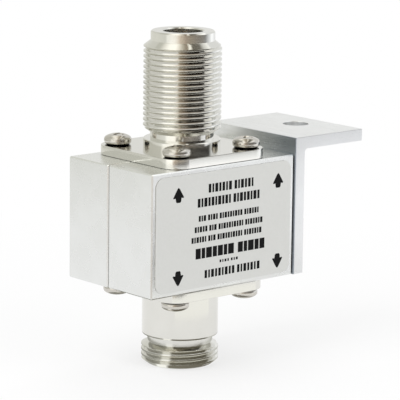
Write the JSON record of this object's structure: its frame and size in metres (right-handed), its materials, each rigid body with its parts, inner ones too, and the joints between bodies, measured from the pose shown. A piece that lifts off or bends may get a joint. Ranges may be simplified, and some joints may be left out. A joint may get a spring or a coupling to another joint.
{
  "type": "coax lightning arrestor",
  "caption": "Small two-part aluminium box between two threaded coaxial connectors, with an angle bracket for fixing it and the surge parts inside.",
  "frame": {"origin": "centre of the bounding box's bottom, in the plane of the equipment connector's rim", "axes": "+Z along both connectors' common axis, from the equipment connector to the antenna connector; -Y out of the label; +X out of the housing towards the bracket's flange"},
  "size_m": [0.056, 0.0264, 0.068],
  "materials": {
    "milled_aluminium": "satin, fine machining marks",
    "extruded_aluminium": "satin, drawn along its length",
    "label_film": "matte grey film",
    "nickel_plate": "bright nickel plate over brass",
    "screw_steel": "bright stainless steel",
    "white_fluoropolymer": "smooth and waxy",
    "gold_plate": "bright gold plate over copper alloy",
    "black_rubber": "matte",
    "tinned_copper": "dull tinned copper",
    "coated_ceramic": "brown dipped coating over ceramic",
    "white_alumina": "unglazed white ceramic",
    "spring_bronze": "bare spring bronze",
    "enamelled_wire": "clear red-brown enamel over copper"
  },
  "bodies": {
    "root": {"front_housing": "milled_aluminium", "rear_housing": "milled_aluminium", "mounting_bracket": "extruded_aluminium", "label": "label_film", "antenna_connector": "nickel_plate", "equipment_connector": "nickel_plate", "antenna_insulator": "white_fluoropolymer", "equipment_insulator": "white_fluoropolymer", "antenna_contact": "gold_plate", "equipment_contact": "gold_plate", "antenna_sealing_ring": "black_rubber", "equipment_sealing_ring": "black_rubber", "antenna_strip": "tinned_copper", "equipment_pad": "tinned_copper", "blocking_capacitor": "coated_ceramic", "gas_tube_ceramic": "white_alumina", "gas_tube_line_cap": "nickel_plate", "gas_tube_ground_cap": "nickel_plate", "ground_spring": "spring_bronze", "drain_coil": "enamelled_wire", "ground_post": "nickel_plate", "antenna_flange_screw_1": "screw_steel", "antenna_flange_screw_2": "screw_steel", "antenna_flange_screw_3": "screw_steel", "antenna_flange_screw_4": "screw_steel", "equipment_flange_screw_1": "screw_steel", "equipment_flange_screw_2": "screw_steel", "equipment_flange_screw_3": "screw_steel", "equipment_flange_screw_4": "screw_steel", "bracket_screw_1": "screw_steel", "bracket_screw_2": "screw_steel"}
  },
  "joints": []
}
